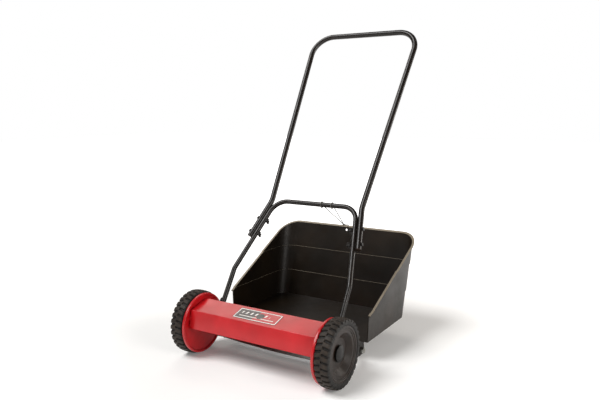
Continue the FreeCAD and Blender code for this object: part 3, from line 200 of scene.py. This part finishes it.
def label_sheet():
    """A flat sheet as a grid in u and v, in its CAD node's place.

    A point is the label's middle plus u times half its length along X plus v times half its width up
    the slope. Near its corners a row is shortened to the corner arc:
    x = half length - r + sqrt(r^2 - (|v| width / 2 - half width + r)^2).
    """
    low, high = (np.array(corner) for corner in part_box("label_plate"))
    slope = np.array([0.0, high[1] - low[1], high[2] - low[2]])
    slope[2] -= LABEL_THICKNESS
    width, length = np.linalg.norm(slope), high[0] - low[0]
    up = slope / width
    normal = np.cross([1.0, 0.0, 0.0], up)
    middle = (low + high) / 2 + normal * LABEL_THICKNESS / 2
    rise = np.sin(np.linspace(-math.pi / 2, math.pi / 2, 33))
    over = np.clip(np.abs(rise) * width / 2 - (width / 2 - LABEL_CORNER), 0, LABEL_CORNER)
    half = length / 2 - LABEL_CORNER + np.sqrt(LABEL_CORNER ** 2 - over ** 2)
    along = np.linspace(-1, 1, 25)
    points = middle + half[:, None, None] * along[None, :, None] * [1.0, 0.0, 0.0]
    points = points + (rise * width / 2)[:, None, None] * up
    places = np.stack([
        0.5 + half[:, None] * along[None, :] / length,
        np.broadcast_to(0.5 + rise[:, None] / 2, (33, 25)),
    ], axis=-1)
    return points, places


def quads(rows, columns, close_rows=False, close_columns=False):
    """Corner indices of the quads between neighbouring points of a grid, row by row."""
    row = np.arange(rows if close_rows else rows - 1)[:, None]
    column = np.arange(columns if close_columns else columns - 1)[None, :]
    after_row, after_column = (row + 1) % rows, (column + 1) % columns
    corners = [row * columns + column, row * columns + after_column,
               after_row * columns + after_column, after_row * columns + column]
    return np.stack(corners, axis=-1).reshape(-1, 4)


def skin(name, points, close_rows=False, close_columns=False, places=None):
    """A mesh over a grid of points, with its faces outwards. places gives each point its u and v."""
    rows, columns, _ = points.shape
    faces = quads(rows, columns, close_rows, close_columns)
    mesh = bpy.data.meshes.new(name)
    mesh.from_pydata(points.reshape(-1, 3).tolist(), [], faces.tolist())
    if places is not None:
        layer = mesh.uv_layers.new(name="UVMap")
        layer.data.foreach_set("uv", places.reshape(-1, 2)[faces.reshape(-1)].astype(np.float32).reshape(-1))
    return mesh


LABEL_FIELDS = {                # middle and half size across the sheet, then up it, as shares of it
    "edge": (0.5, 0.492, 0.5, 0.475),
    "field": (0.5, 0.475, 0.5, 0.425),
    "stripe": (0.5, 0.40, 0.30, 0.035),
    "bars": (0.44, 0.33, 0.62, 0.11),
}
BARS_ACROSS = 9.0
BAR_HALF = 0.17
FIELD_LEAN = 0.10
RED_BEGINS = 0.42
DISC_MIDDLE = (0.56, 0.52)
DISC_STRETCH = 3.0
DISC_RADIUS = 0.26


def printed_vinyl():
    """Satin vinyl, printed in red, black and white: crisp edges, even sheen."""
    material, tree, shader = surface("printed_satin_vinyl", IOR=1.5, Coat_Weight=0.3, Coat_Roughness=0.15)
    sheet = add(tree, "TexCoord")
    split = add(tree, "SeparateXYZ", {"Vector": sheet.outputs["UV"]})
    u, v = split.outputs["X"], split.outputs["Y"]
    masks = {}
    for name, (u_middle, u_half, v_middle, v_half) in LABEL_FIELDS.items():
        within = []
        for value, middle, half in ((u, u_middle, u_half), (v, v_middle, v_half)):
            offset = add(tree, "Math", {0: value, 1: middle}, operation="SUBTRACT").outputs["Value"]
            reach = add(tree, "Math", {0: offset}, operation="ABSOLUTE").outputs["Value"]
            within.append(add(tree, "Math", {0: reach, 1: half}, operation="LESS_THAN").outputs["Value"])
        both = add(tree, "Math", {0: within[0], 1: within[1]}, operation="MULTIPLY")
        masks[name] = both.outputs["Value"]
    lean = add(tree, "Math", {0: v, 1: FIELD_LEAN}, operation="MULTIPLY").outputs["Value"]
    slant = add(tree, "Math", {0: u, 1: lean}, operation="SUBTRACT").outputs["Value"]
    red_side = add(tree, "Math", {0: slant, 1: RED_BEGINS}, operation="GREATER_THAN").outputs["Value"]
    count = add(tree, "Math", {0: slant, 1: BARS_ACROSS}, operation="MULTIPLY").outputs["Value"]
    phase = add(tree, "Math", {0: count}, operation="FRACT").outputs["Value"]
    offset = add(tree, "Math", {0: phase, 1: 0.5}, operation="SUBTRACT").outputs["Value"]
    reach = add(tree, "Math", {0: offset}, operation="ABSOLUTE").outputs["Value"]
    bar = add(tree, "Math", {0: reach, 1: BAR_HALF}, operation="LESS_THAN").outputs["Value"]
    bars = add(tree, "Math", {0: bar, 1: masks["bars"]}, operation="MULTIPLY").outputs["Value"]
    centred = add(tree, "VectorMath", {0: sheet.outputs["UV"], 1: (*DISC_MIDDLE, 0.0)}, operation="SUBTRACT")
    spread = add(tree, "VectorMath", {0: centred.outputs["Vector"], 1: (DISC_STRETCH, 1.0, 0.0)},
                 operation="MULTIPLY")
    radius = add(tree, "VectorMath", {0: spread.outputs["Vector"]}, operation="LENGTH").outputs["Value"]
    disc = add(tree, "Math", {0: radius, 1: DISC_RADIUS}, operation="LESS_THAN").outputs["Value"]
    outside_field = add(tree, "Math", {0: 1.0, 1: masks["field"]}, operation="SUBTRACT").outputs["Value"]
    outside_edge = add(tree, "Math", {0: 1.0, 1: masks["edge"]}, operation="SUBTRACT").outputs["Value"]
    clouds = add(tree, "TexNoise", {"Vector": sheet.outputs["Object"], "Scale": 60.0, "Detail": 2.0})
    ink = add(tree, "ValToRGB", {"Fac": clouds.outputs["Fac"]})
    ink.color_ramp.elements[0].color = linear("#151011")
    ink.color_ramp.elements[1].color = linear("#2A2021")
    colour = ink.outputs["Color"]
    for mask, top in (
        (red_side, "#B3121B"), (masks["stripe"], "#D9D2CC"), (bars, "#E9E4DF"), (disc, "#1A1414"),
        (outside_field, "#F1EEEA"), (outside_edge, "#1A1514"),
    ):
        mixed = add(tree, "Mix", {"Factor": mask, "A": colour, "B": tuple(linear(top))}, data_type="RGBA")
        colour = mixed.outputs["Result"]
    tree.links.new(colour, shader.inputs["Base Color"])
    sheen_patches(tree, shader, sheet.outputs["Object"], 0.012, 0.28, 0.38)
    return material


label_points, label_places = label_sheet()
label_mesh = skin("label_sheet", label_points, places=label_places)
label = place_piece("label_sheet", label_mesh, "chassis", printed_vinyl(), ["label_plate"])
backing = label.modifiers.new("thickness", "SOLIDIFY")
backing.thickness = LABEL_THICKNESS
backing.offset = -1.0

# ---- Zinc-plated fasteners, axles and rods -------------------------------------------------------
# Screws, nuts, washers, clips and turned rods are steel with bright zinc plating. The plating clouds
# a little and keeps the turning marks, and every edge is slightly broken.


def bright_zinc(name, colours):
    """Bright zinc plating: pale grey with a straw tint in places, satin rather than mirror."""
    material, tree, shader = surface(name, Metallic=1.0)
    place = add(tree, "TexCoord").outputs["Object"]
    mottle(tree, shader, place, 0.006, colours)
    sheen_patches(tree, shader, place, 0.002, 0.26, 0.42)
    grain(tree, shader, place, 0.0012, 0.00002)
    return material


zinc = bright_zinc("bright_zinc_plated_steel", ["#9C9C96", "#B4B5B1", "#C2BFB2"])
for node in (
    "stub_axle_left", "stub_axle_right", "bracket_bolts", "cover_screws", "knife_screws", "bed_bar_bolts",
    "bed_bar_adjusters", "axle_washers", "axle_clips", "handle_pivot_bolts", "handle_pivot_nuts",
    "handle_stop_pins", "arm_bolts", "catcher_rod", "catcher_rod_nuts", "roller_axle",
    "roller_axle_nuts", "drive_pawls",
):
    finished(node, zinc)
wire = bright_zinc("galvanised_drawn_wire", ["#5C5B57", "#6E6D68"])
for node in ("bail_wire", "bail_hook"):
    finished(node, wire)


# ---- Brackets, arms, bed bar, spiders and handles: black enamel ----------------------------------
# Flat strip steel, cut and drilled, and round steel tube, bent cold: all dipped in black enamel. The
# tubes' ends carry moulded caps, and the two handles are joined by bolts with black wing nuts.


def black_enamel():
    """Dipped black enamel on steel: deep warm black, glossy, with long streak highlights on tube."""
    material, tree, shader = surface("dipped_black_enamel_on_steel", IOR=1.5, Specular_IOR_Level=0.38)
    place = add(tree, "TexCoord").outputs["Object"]
    mottle(tree, shader, place, 0.05, ["#0D0804", "#120B06", "#170F09"])
    sheen_patches(tree, shader, place, 0.02, 0.26, 0.38)
    grain(tree, shader, place, 0.003, 0.00002)
    return material


def black_oxide():
    """Blackened steel and black moulded wings: dull, almost neutral black with a metallic edge."""
    material, tree, shader = surface("black_oxide_steel", Metallic=0.6)
    place = add(tree, "TexCoord").outputs["Object"]
    mottle(tree, shader, place, 0.005, ["#1B1918", "#2A2826"])
    sheen_patches(tree, shader, place, 0.003, 0.34, 0.5)
    grain(tree, shader, place, 0.001, 0.00003)
    return material


enamel = black_enamel()
for node in ("rear_bracket_left", "rear_bracket_right", "roller_arm_left", "roller_arm_right", "bed_bar"):
    finished(node, enamel, edge=0.0005)
for node in ("lower_handle", "upper_handle", *[f"reel_spider_{i}" for i in range(1, 5)]):
    finished(node, enamel)
blackened = black_oxide()
for node in ("handle_bolts", "handle_wing_nuts", "arm_wing_nuts"):
    finished(node, blackened)

# ---- Reel, bed knife, gears and bearings ---------------------------------------------------------
# The five blades and the bed knife are hardened strip, ground lengthwise so that they shear against
# each other. The pinions are sintered steel and the bearings cast iron, washed dark.


def ground_steel():
    """Ground blade steel: mid grey, fine scratches along X, a thin film of oil."""
    material, tree, shader = surface("ground_blade_steel", Metallic=1.0)
    place = add(tree, "TexCoord").outputs["Object"]
    along = add(tree, "Mapping", {"Vector": place, "Scale": (0.04, 1.0, 1.0)}).outputs["Vector"]
    mottle(tree, shader, along, 0.002, ["#5F5D59", "#7C7A76", "#8F8D88"])
    sheen_patches(tree, shader, along, 0.001, 0.28, 0.46)
    grain(tree, shader, along, 0.0008, 0.00002)
    return material


def cast_iron():
    """Sand-cast iron with a dark wash: matt, with a grain about 1 mm across."""
    material, tree, shader = surface("washed_cast_iron", IOR=1.5)
    place = add(tree, "TexCoord").outputs["Object"]
    mottle(tree, shader, place, 0.004, ["#23211D", "#322F2A"])
    sheen_patches(tree, shader, place, 0.003, 0.5, 0.7)
    grain(tree, shader, place, 0.0012, 0.00012)
    return material


steel = ground_steel()
blades = [f"reel_blade_{i}" for i in range(1, 6)]
for node in ("bed_knife", "reel_shaft", "pinion_left", "pinion_right", *blades):
    finished(node, steel)
iron = cast_iron()
for node in ("reel_bearing_left", "reel_bearing_right"):
    finished(node, iron, edge=0.0005)

# ---- Tyres ---------------------------------------------------------------------------------------
# Each tyre is one rubber moulding with two rows of short blocks. The rows are staggered by half a
# pitch and meet in a narrow middle rib. The blocks run a little way down both shoulders.

LUGS_PER_ROW = 32
GROOVE_SHARE = 0.33          # of the pitch
LUG_SLANT = 0.22             # pitches that a groove leans over between the middle and the shoulder
TREAD_MM = (
    (-20.0, 80.0, 80.0), (-22.0, 83.0, 83.0), (-22.0, 93.0, 90.0), (-19.5, 98.4, 93.2), (-10.0, 99.8, 94.6),
    (0.0, 100.0, 95.0), (10.0, 99.8, 94.6), (19.5, 98.4, 93.2), (22.0, 93.0, 90.0), (22.0, 83.0, 83.0),
    (20.0, 80.0, 80.0),
)                            # across the tyre: place, radius over the blocks, radius in the grooves
# Between these radii from the axle, the painted shade in the grooves fades into the block tops' colour.
GROOVE_RADIUS = 0.0945
UNSHADED_RADIUS = 0.0992
SHOULDER_MM = 22
RIB_MM = (0.8, 2.2)          # from the middle: where the rib's top ends, where its flank ends
FLANK_SHARE = 0.05           # of the pitch, each side of a groove's edge
SAMPLES_PER_LUG = 14
SAMPLES_ACROSS = 72


def ease(value, low, high):
    """0 below low, 1 above high and 3t^2 - 2t^3 between them."""
    t = np.clip((value - low) / (high - low), 0, 1)
    return t * t * (3 - 2 * t)


def tyre_skin(middle_x, axle):
    """A ring whose radius changes between two profiles: r = groove + (block - groove) m.

    m is 1 on a block and 0 in a groove. The groove's phase is lugs * angle / 2 pi + slant * |s| plus
    half a pitch in one row, where s runs from -1 to 1 across the tyre, and m eases between them.
    """
    outline = np.array(TREAD_MM + TREAD_MM[:1])
    length = np.concatenate([[0], np.cumsum(np.hypot(np.diff(outline[:, 0]), np.diff(outline[:, 1])))])
    at = np.linspace(0, length[-1], SAMPLES_ACROSS, endpoint=False)
    across, block, groove = (np.interp(at, length, outline[:, column]) for column in range(3))
    soften = np.array([0.25, 0.5, 0.25])
    across, block, groove = (
        np.convolve(np.concatenate([line[-1:], line, line[:1]]), soften, "valid")
        for line in (across, block, groove)
    )
    angle = np.linspace(0, 2 * math.pi, LUGS_PER_ROW * SAMPLES_PER_LUG, endpoint=False)[:, None]
    share = across[None, :] / SHOULDER_MM
    phase = angle * LUGS_PER_ROW / (2 * math.pi) + LUG_SLANT * np.abs(share) + 0.5 * (share > 0)
    from_block = np.abs(phase % 1.0 - 0.5)
    block_half = 0.5 - GROOVE_SHARE / 2
    mask = 1 - ease(from_block, block_half - FLANK_SHARE, block_half + FLANK_SHARE)
    mask = np.maximum(mask, 1 - ease(np.abs(across)[None, :], *RIB_MM))
    radius = groove + (block - groove) * mask
    x = np.broadcast_to(across, radius.shape)
    points = np.stack([x, radius * np.sin(angle), radius * np.cos(angle)], axis=-1) * 0.001
    return points + np.array([middle_x, axle[0], axle[1]])


def moulded_rubber(axle):
    """Moulded tyre rubber: warm black and dull, with painted shade in the grooves.

    The block tops are paler than the painted shade in the grooves, which fades out with the distance
    from the wheel axle, between groove and block radius.
    """
    material, tree, shader = surface("moulded_tyre_rubber", IOR=1.52, Specular_IOR_Level=0.32)
    place = add(tree, "TexCoord").outputs["Object"]
    block_top_rubber = mottle(tree, shader, place, 0.012, ["#1D1610", "#281F17", "#32281F"])
    spoke = add(tree, "VectorMath", {0: place, 1: (0.0, *axle)}, operation="SUBTRACT").outputs["Vector"]
    spoke = add(tree, "VectorMath", {0: spoke, 1: (0.0, 1.0, 1.0)}, operation="MULTIPLY").outputs["Vector"]
    radius = add(tree, "VectorMath", {0: spoke}, operation="LENGTH").outputs["Value"]
    # Painted shade: the grooves take a darker colour than the block tops.
    share = add(tree, "MapRange", {"Value": radius, "From Min": GROOVE_RADIUS, "From Max": UNSHADED_RADIUS})
    mixed = add(tree, "Mix", {"Factor": share.outputs["Result"], "A": tuple(linear("#0F0B08")), "B": block_top_rubber},
                data_type="RGBA")
    tree.links.new(mixed.outputs["Result"], shader.inputs["Base Color"])
    sheen_patches(tree, shader, place, 0.006, 0.5, 0.68)
    grain(tree, shader, place, 0.0013, 0.0001)
    return material


low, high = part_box("tyre_left")
rubber = moulded_rubber(((low.y + high.y) / 2, (low.z + high.z) / 2))
for side in ("left", "right"):
    low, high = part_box("tyre_" + side)
    middle = (low + high) / 2
    tyre = skin("tyre_tread_" + side, tyre_skin(middle.x, (middle.y, middle.z)), True, True)
    tyre.shade_smooth()
    tyre.set_sharp_from_angle(angle=math.radians(50))
    place_piece("tyre_tread_" + side, tyre, "wheel_" + side, rubber, ["tyre_" + side])

# ---- Wheels, hub caps, end caps and roller -------------------------------------------------------
# The wheels are black polypropylene mouldings with the ring gear inside. Their outer face has raised
# rings and a conical dish down to the snap-on hub cap. The rear roller is moulded in the same plastic.


def moulded_plastic(name, colours):
    """Injection-moulded polypropylene: satin warm black with a fine spark-eroded grain."""
    material, tree, shader = surface(name, IOR=1.49, Specular_IOR_Level=0.32)
    place = add(tree, "TexCoord").outputs["Object"]
    mottle(tree, shader, place, 0.03, colours)
    sheen_patches(tree, shader, place, 0.01, 0.36, 0.48)
    grain(tree, shader, place, 0.001, 0.00003)
    return material


def natural_nylon():
    """Turned nylon: warm white, slightly translucent."""
    material, tree, shader = surface("turned_natural_nylon", IOR=1.53, Subsurface_Weight=0.1)
    place = add(tree, "TexCoord").outputs["Object"]
    mottle(tree, shader, place, 0.01, ["#D9D3C3", "#E4DFD2"])
    sheen_patches(tree, shader, place, 0.004, 0.4, 0.5)
    return material


plastic = moulded_plastic("moulded_black_polypropylene", ["#1A110A", "#241810"])
for node in ("wheel_left", "wheel_right"):
    finished(node, plastic, edge=0.0006)
# Painted shade: the hub caps take a darker copy of the wheel plastic, standing for the shade deep in the
# wheels' dish.
recess_shaded_cap_plastic = moulded_plastic("moulded_cap_polypropylene", ["#070504", "#0C0907"])
for node in ("hub_cap_left", "hub_cap_right"):
    finished(node, recess_shaded_cap_plastic, edge=0.0006)
for node in ("handle_end_caps", "rear_roller"):
    finished(node, plastic)
nylon = natural_nylon()
for node in ("wheel_bush_left", "wheel_bush_right"):
    finished(node, nylon)

# ---- Grass catcher -------------------------------------------------------------------------------
# One large injection moulding in black polypropylene. Two steps run round its walls to stiffen them,
# the rim is rolled outwards, and a hole below the rim at the back hangs it up for storage.

CATCHER_WALL = 0.0025


def catcher_plastic(floor_top):
    """Injection-moulded polypropylene on large walls: warm black, faint grain, soft sheen.

    Painted highlight: what faces up above the floor is pale, such as the steps in the walls and the rim.
    """
    material, tree, shader = surface("moulded_catcher_polypropylene", IOR=1.49, Specular_IOR_Level=0.32)
    place = add(tree, "TexCoord").outputs["Object"]
    plain_plastic = mottle(tree, shader, place, 0.12, ["#120C06", "#171008", "#1E150B"])
    facing = add(tree, "SeparateXYZ", {"Vector": add(tree, "NewGeometry").outputs["Normal"]}).outputs["Z"]
    height = add(tree, "SeparateXYZ", {"Vector": place}).outputs["Z"]
    upwards = add(tree, "MapRange", {"Value": facing, "From Min": 0.35, "From Max": 0.75}).outputs["Result"]
    above = add(tree, "Math", {0: height, 1: floor_top + 0.004}, operation="GREATER_THAN").outputs["Value"]
    share = add(tree, "Math", {0: upwards, 1: above}, operation="MULTIPLY").outputs["Value"]
    # Painted highlight: upward faces above the floor take a pale colour, as if catching the overhead light.
    mixed = add(tree, "Mix", {"Factor": share, "A": plain_plastic, "B": tuple(linear("#857A69"))}, data_type="RGBA")
    tree.links.new(mixed.outputs["Result"], shader.inputs["Base Color"])
    sheen_patches(tree, shader, place, 0.05, 0.34, 0.46)
    grain(tree, shader, place, 0.0022, 0.00006)
    return material


finished("catcher", catcher_plastic(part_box("catcher")[0].z + CATCHER_WALL), edge=0.0012)

# ---- Floor, light and camera ---------------------------------------------------------------------
# A wide white floor under a soft overhead sun from the left, with large lamps behind on the left, on
# the right and low on the right behind the catcher, and even pale surroundings.

FLOOR_HALF = 12.0


def floor_mesh():
    """A flat square as a grid of two by two points: x and y run from -half to half."""
    reach = np.linspace(-FLOOR_HALF, FLOOR_HALF, 2)
    x, y = np.meshgrid(reach, reach)
    return skin("floor", np.stack([x, y, 0 * x], axis=-1))


def white_paper():
    """Matt white background paper, lit from behind by a glow that grows with the distance."""
    material, tree, shader = surface("white_background_paper", Roughness=0.9, IOR=1.45)
    place = add(tree, "TexCoord").outputs["Object"]
    mottle(tree, shader, place, 0.6, ["#F6F5F3", "#FAF9F8"])
    distance = add(tree, "VectorMath", {0: place}, operation="LENGTH").outputs["Value"]
    glow = add(tree, "MapRange", {
        "Value": distance, "From Min": 0.6, "From Max": 2.0, "To Min": 0.1, "To Max": 0.8,
    })
    shader.inputs["Emission Color"].default_value = linear("#FFFFFF")
    tree.links.new(glow.outputs["Result"], shader.inputs["Emission Strength"])
    return material


floor = bpy.data.objects.new("floor", floor_mesh())
floor.data.materials.append(white_paper())
bpy.context.scene.collection.objects.link(floor)


def aimed_lamp(name, kind, place, target, colour, energy, **settings):
    """A lamp of a Blender kind at a place, turned to a target."""
    lamp = bpy.data.lights.new(name, kind)
    lamp.color = linear(colour)[:3]
    lamp.energy = energy
    for setting, value in settings.items():
        setattr(lamp, setting, value)
    holder = bpy.data.objects.new(name, lamp)
    holder.location = place
    holder.rotation_euler = (Vector(target) - Vector(place)).to_track_quat("-Z", "Y").to_euler()
    bpy.context.scene.collection.objects.link(holder)


MIDDLE = (0.0, 0.0, 0.3)
CATCHER_SIDE = (0.2, 0.1, 0.2)
aimed_lamp("overhead", "SUN", (-1.2, -1.6, 3.0), MIDDLE, "#FFFFFF", 2.4, angle=math.radians(30))
for name, place, target, colour, watts, size, size_y in (
    ("sheen_behind", (-1.5, 1.15, 2.0), MIDDLE, "#FFF8F0", 13, 1.5, 1.2),
    ("fill_right", (2.6, -0.9, 1.2), MIDDLE, "#FFFCF8", 30, 1.2, 1.2),
    ("side_low", (1.9, 1.9, 0.8), CATCHER_SIDE, "#FFF8F0", 22, 1.4, 0.8),
):
    aimed_lamp(name, "AREA", place, target, colour, watts, shape="RECTANGLE", size=size, size_y=size_y)

SURROUNDINGS_AS_LIGHT = 0.16
SURROUNDINGS_AS_SEEN = 1.0
world = bpy.data.worlds.new("studio")
world.use_nodes = True
tree = world.node_tree
seen = add(tree, "LightPath").outputs["Is Camera Ray"]
strength = add(tree, "MapRange", {
    "Value": seen, "To Min": SURROUNDINGS_AS_LIGHT, "To Max": SURROUNDINGS_AS_SEEN,
})
tree.links.new(strength.outputs["Result"], tree.nodes["Background"].inputs["Strength"])
tree.nodes["Background"].inputs["Color"].default_value = linear("#FFFFFF")
bpy.context.scene.world = world
bpy.context.scene.view_settings.view_transform = "Standard"

CAMERA_PLACE = Vector((1.0422, -1.75115, 0.7826))
CAMERA_AIM = Vector((-0.01825, -0.04825, 0.47819))
CAMERA_ROLL = math.radians(-0.31)
lens = bpy.data.cameras.new("camera")
lens.lens = 37.27
lens.sensor_width = 36.0
camera = bpy.data.objects.new("camera", lens)
camera.location = CAMERA_PLACE
aim = (CAMERA_AIM - CAMERA_PLACE).to_track_quat("-Z", "Y").to_matrix()
camera.rotation_euler = (aim @ Matrix.Rotation(CAMERA_ROLL, 3, "Z")).to_euler()
bpy.context.scene.collection.objects.link(camera)
bpy.context.scene.camera = camera
